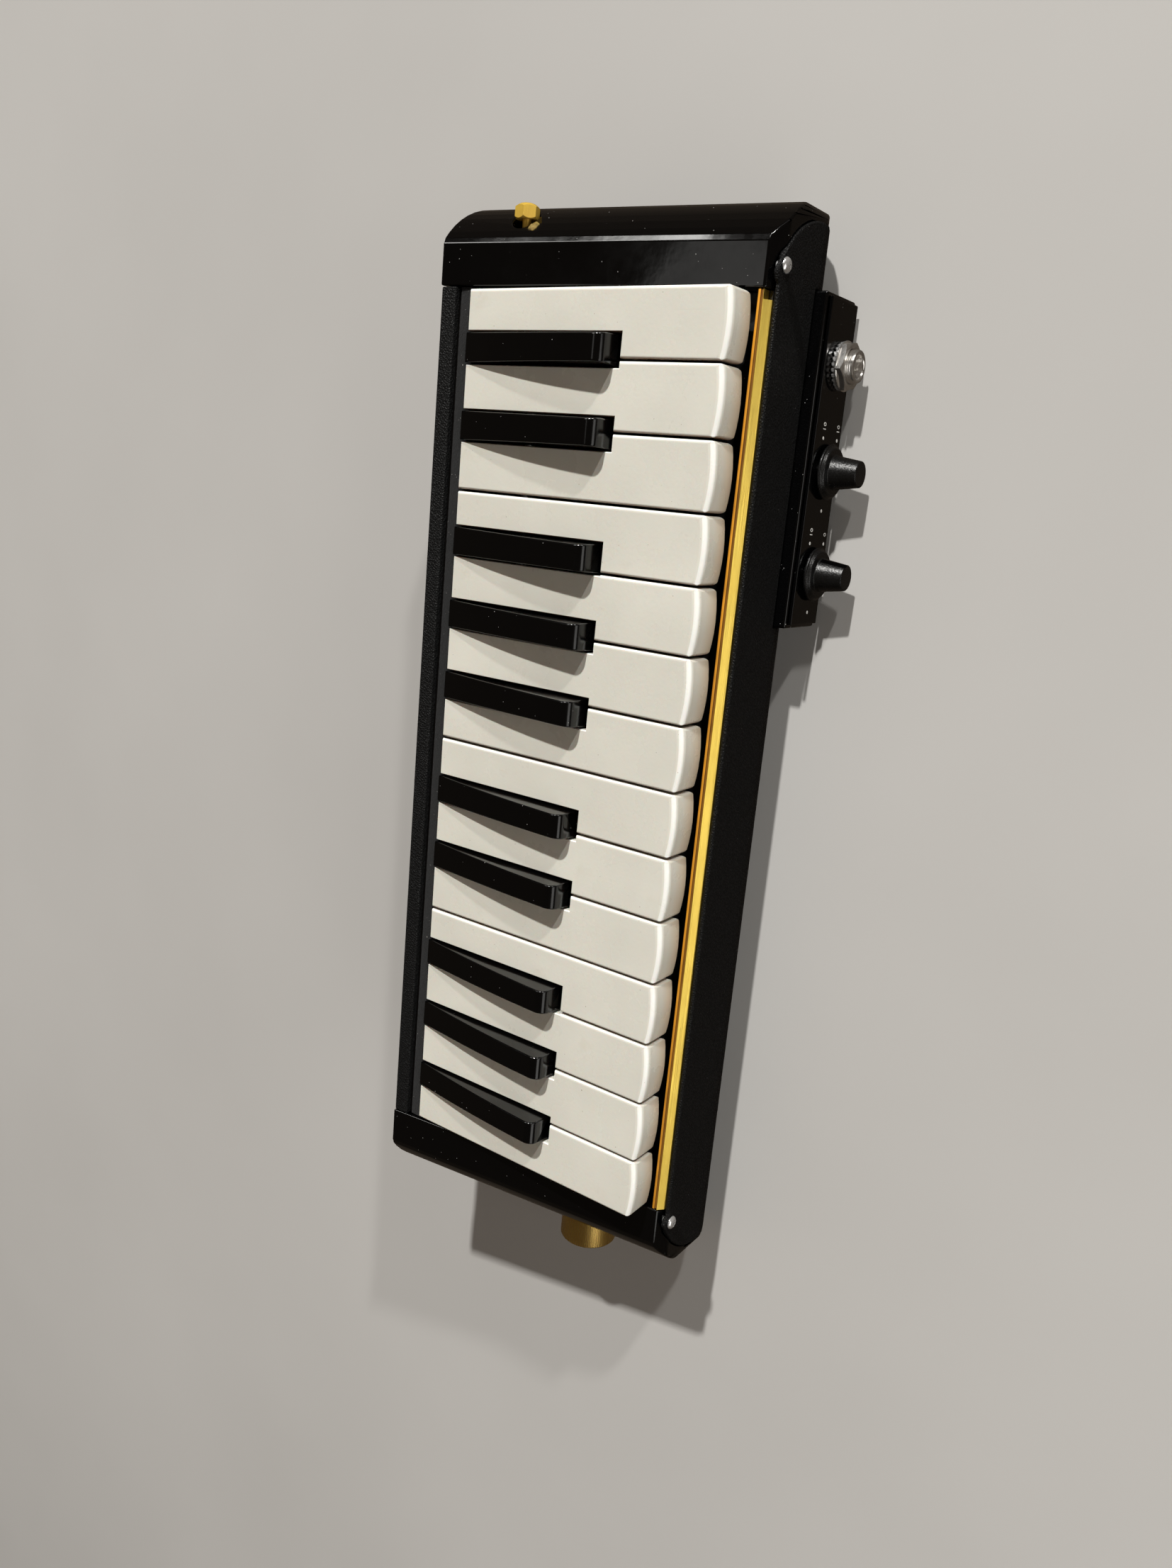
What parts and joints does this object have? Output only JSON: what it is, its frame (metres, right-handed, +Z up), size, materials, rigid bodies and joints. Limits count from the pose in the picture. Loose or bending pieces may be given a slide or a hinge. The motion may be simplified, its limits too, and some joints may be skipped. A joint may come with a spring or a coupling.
{
  "type": "bass melodica",
  "caption": "Wind keyboard in a black leatherette case with rounded end caps, sprung keys over a reed chamber, mouthpiece socket, drain button and a pickup control box.",
  "frame": {"origin": "centre of the bounding box on the surface that the foot strips stand on", "axes": "+X along the keys towards the high notes, +Y from the player's side to the rear, +Z up out of the keys"},
  "size_m": [0.3448, 0.1248, 0.0632],
  "materials": {
    "leatherette": "fine pebbled black leatherette, dull sheen",
    "black_gloss": "polished black",
    "black_satin": "satin black",
    "ivory": "aged ivory plastic, soft gloss",
    "gold": "satin gold anodised",
    "chrome": "nickel plated, polished",
    "steel": "plain steel",
    "brass": "plain brass",
    "felt": "black wool felt",
    "wood": "plain beech",
    "rubber": "black rubber",
    "chamber_plastic": "moulded grey plastic",
    "circuit_board": "green fibreglass board"
  },
  "bodies": {
    "case": {"case_shell": "leatherette", "low_end_cap": "black_gloss", "high_end_cap": "black_gloss", "bottom_cover": "black_satin", "rear_rail": "wood", "front_trim": "gold", "felt_strip": "felt", "key_bed": "black_satin", "key_shaft": "steel", "key_springs": "steel", "wind_chamber": "chamber_plastic", "chamber_gasket": "rubber", "reed_block": "chamber_plastic", "reed_plate": "brass", "reed_tongues": "steel", "mouthpiece_socket": "gold", "socket_seal": "rubber", "drain_spring": "steel", "control_box": "black_gloss", "control_panel": "black_gloss", "circuit_board": "circuit_board", "volume_pot": "steel", "balance_pot": "steel", "jack_socket": "steel", "jack_nut": "chrome", "jack_washer": "chrome", "pickup_bar": "steel", "pickup_lead": "rubber", "jack_lead": "rubber", "low_foot_strip": "rubber", "high_foot_strip": "rubber", "low_front_screw": "chrome", "high_front_screw": "chrome"},
    "key_01_f": {"key_01_f": "ivory"},
    "key_02_f_sharp": {"key_02_f_sharp": "black_gloss"},
    "key_03_g": {"key_03_g": "ivory"},
    "key_04_g_sharp": {"key_04_g_sharp": "black_gloss"},
    "key_05_a": {"key_05_a": "ivory"},
    "key_06_a_sharp": {"key_06_a_sharp": "black_gloss"},
    "key_07_b": {"key_07_b": "ivory"},
    "key_08_c": {"key_08_c": "ivory"},
    "key_09_c_sharp": {"key_09_c_sharp": "black_gloss"},
    "key_10_d": {"key_10_d": "ivory"},
    "key_11_d_sharp": {"key_11_d_sharp": "black_gloss"},
    "key_12_e": {"key_12_e": "ivory"},
    "key_13_f": {"key_13_f": "ivory"},
    "key_14_f_sharp": {"key_14_f_sharp": "black_gloss"},
    "key_15_g": {"key_15_g": "ivory"},
    "key_16_g_sharp": {"key_16_g_sharp": "black_gloss"},
    "key_17_a": {"key_17_a": "ivory"},
    "key_18_a_sharp": {"key_18_a_sharp": "black_gloss"},
    "key_19_b": {"key_19_b": "ivory"},
    "key_20_c": {"key_20_c": "ivory"},
    "key_21_c_sharp": {"key_21_c_sharp": "black_gloss"},
    "key_22_d": {"key_22_d": "ivory"},
    "key_23_d_sharp": {"key_23_d_sharp": "black_gloss"},
    "key_24_e": {"key_24_e": "ivory"},
    "volume_knob": {"volume_knob": "black_satin"},
    "balance_knob": {"balance_knob": "black_satin"},
    "drain_button": {"drain_button": "gold"}
  },
  "joints": [
    {"name": "key_01_f_press", "type": "hinge", "parent": "case", "child": "key_01_f", "pos_m": [-0.12775, 0.03105, 0.0475], "axis": [1, 0, 0], "range_deg": [0, 4.1], "stiffness_Nm_per_rad": 0.25, "springref_deg": -4.58, "deforming": ["key_springs"]},
    {"name": "key_02_f_sharp_press", "type": "hinge", "parent": "case", "child": "key_02_f_sharp", "pos_m": [-0.1166, 0.03105, 0.0475], "axis": [1, 0, 0], "range_deg": [0, 5], "stiffness_Nm_per_rad": 0.25, "springref_deg": -4.58},
    {"name": "key_03_g_press", "type": "hinge", "parent": "case", "child": "key_03_g", "pos_m": [-0.10495, 0.03105, 0.0475], "axis": [1, 0, 0], "range_deg": [0, 4.1], "stiffness_Nm_per_rad": 0.25, "springref_deg": -4.58},
    {"name": "key_04_g_sharp_press", "type": "hinge", "parent": "case", "child": "key_04_g_sharp", "pos_m": [-0.0933, 0.03105, 0.0475], "axis": [1, 0, 0], "range_deg": [0, 5], "stiffness_Nm_per_rad": 0.25, "springref_deg": -4.58},
    {"name": "key_05_a_press", "type": "hinge", "parent": "case", "child": "key_05_a", "pos_m": [-0.08175, 0.03105, 0.0475], "axis": [1, 0, 0], "range_deg": [0, 4.1], "stiffness_Nm_per_rad": 0.25, "springref_deg": -4.58},
    {"name": "key_06_a_sharp_press", "type": "hinge", "parent": "case", "child": "key_06_a_sharp", "pos_m": [-0.0702, 0.03105, 0.0475], "axis": [1, 0, 0], "range_deg": [0, 5], "stiffness_Nm_per_rad": 0.25, "springref_deg": -4.58},
    {"name": "key_07_b_press", "type": "hinge", "parent": "case", "child": "key_07_b", "pos_m": [-0.06005, 0.03105, 0.0475], "axis": [1, 0, 0], "range_deg": [0, 4.1], "stiffness_Nm_per_rad": 0.25, "springref_deg": -4.58},
    {"name": "key_08_c_press", "type": "hinge", "parent": "case", "child": "key_08_c", "pos_m": [-0.04685, 0.03105, 0.0475], "axis": [1, 0, 0], "range_deg": [0, 4.1], "stiffness_Nm_per_rad": 0.25, "springref_deg": -4.58},
    {"name": "key_09_c_sharp_press", "type": "hinge", "parent": "case", "child": "key_09_c_sharp", "pos_m": [-0.0348, 0.03105, 0.0475], "axis": [1, 0, 0], "range_deg": [0, 5], "stiffness_Nm_per_rad": 0.25, "springref_deg": -4.58},
    {"name": "key_10_d_press", "type": "hinge", "parent": "case", "child": "key_10_d", "pos_m": [-0.0233, 0.03105, 0.0475], "axis": [1, 0, 0], "range_deg": [0, 4.1], "stiffness_Nm_per_rad": 0.25, "springref_deg": -4.58},
    {"name": "key_11_d_sharp_press", "type": "hinge", "parent": "case", "child": "key_11_d_sharp", "pos_m": [-0.0118, 0.03105, 0.0475], "axis": [1, 0, 0], "range_deg": [0, 5], "stiffness_Nm_per_rad": 0.25, "springref_deg": -4.58},
    {"name": "key_12_e_press", "type": "hinge", "parent": "case", "child": "key_12_e", "pos_m": [-0.00085, 0.03105, 0.0475], "axis": [1, 0, 0], "range_deg": [0, 4.1], "stiffness_Nm_per_rad": 0.25, "springref_deg": -4.58},
    {"name": "key_13_f_press", "type": "hinge", "parent": "case", "child": "key_13_f", "pos_m": [0.01225, 0.03105, 0.0475], "axis": [1, 0, 0], "range_deg": [0, 4.1], "stiffness_Nm_per_rad": 0.25, "springref_deg": -4.58},
    {"name": "key_14_f_sharp_press", "type": "hinge", "parent": "case", "child": "key_14_f_sharp", "pos_m": [0.0234, 0.03105, 0.0475], "axis": [1, 0, 0], "range_deg": [0, 5], "stiffness_Nm_per_rad": 0.25, "springref_deg": -4.58},
    {"name": "key_15_g_press", "type": "hinge", "parent": "case", "child": "key_15_g", "pos_m": [0.03505, 0.03105, 0.0475], "axis": [1, 0, 0], "range_deg": [0, 4.1], "stiffness_Nm_per_rad": 0.25, "springref_deg": -4.58},
    {"name": "key_16_g_sharp_press", "type": "hinge", "parent": "case", "child": "key_16_g_sharp", "pos_m": [0.0467, 0.03105, 0.0475], "axis": [1, 0, 0], "range_deg": [0, 5], "stiffness_Nm_per_rad": 0.25, "springref_deg": -4.58},
    {"name": "key_17_a_press", "type": "hinge", "parent": "case", "child": "key_17_a", "pos_m": [0.05825, 0.03105, 0.0475], "axis": [1, 0, 0], "range_deg": [0, 4.1], "stiffness_Nm_per_rad": 0.25, "springref_deg": -4.58},
    {"name": "key_18_a_sharp_press", "type": "hinge", "parent": "case", "child": "key_18_a_sharp", "pos_m": [0.0698, 0.03105, 0.0475], "axis": [1, 0, 0], "range_deg": [0, 5], "stiffness_Nm_per_rad": 0.25, "springref_deg": -4.58},
    {"name": "key_19_b_press", "type": "hinge", "parent": "case", "child": "key_19_b", "pos_m": [0.07995, 0.03105, 0.0475], "axis": [1, 0, 0], "range_deg": [0, 4.1], "stiffness_Nm_per_rad": 0.25, "springref_deg": -4.58},
    {"name": "key_20_c_press", "type": "hinge", "parent": "case", "child": "key_20_c", "pos_m": [0.09315, 0.03105, 0.0475], "axis": [1, 0, 0], "range_deg": [0, 4.1], "stiffness_Nm_per_rad": 0.25, "springref_deg": -4.58},
    {"name": "key_21_c_sharp_press", "type": "hinge", "parent": "case", "child": "key_21_c_sharp", "pos_m": [0.1052, 0.03105, 0.0475], "axis": [1, 0, 0], "range_deg": [0, 5], "stiffness_Nm_per_rad": 0.25, "springref_deg": -4.58},
    {"name": "key_22_d_press", "type": "hinge", "parent": "case", "child": "key_22_d", "pos_m": [0.1167, 0.03105, 0.0475], "axis": [1, 0, 0], "range_deg": [0, 4.1], "stiffness_Nm_per_rad": 0.25, "springref_deg": -4.58},
    {"name": "key_23_d_sharp_press", "type": "hinge", "parent": "case", "child": "key_23_d_sharp", "pos_m": [0.1282, 0.03105, 0.0475], "axis": [1, 0, 0], "range_deg": [0, 5], "stiffness_Nm_per_rad": 0.25, "springref_deg": -4.58},
    {"name": "key_24_e_press", "type": "hinge", "parent": "case", "child": "key_24_e", "pos_m": [0.13915, 0.03105, 0.0475], "axis": [1, 0, 0], "range_deg": [0, 4.1], "stiffness_Nm_per_rad": 0.25, "springref_deg": -4.58},
    {"name": "volume_turn", "type": "hinge", "parent": "case", "child": "volume_knob", "pos_m": [0.0705, -0.05145, 0.0093], "axis": [0, -1, 0], "range_deg": [0, 306]},
    {"name": "balance_turn", "type": "hinge", "parent": "case", "child": "balance_knob", "pos_m": [0.1006, -0.05145, 0.0093], "axis": [0, -1, 0], "range_deg": [-153, 153]},
    {"name": "drain_press", "type": "slide", "parent": "case", "child": "drain_button", "axis": [-1, 0, 0], "range_m": [0, 0.0025], "stiffness_N_per_m": 250, "springref_m": -0.004, "deforming": ["drain_spring"]}
  ]
}
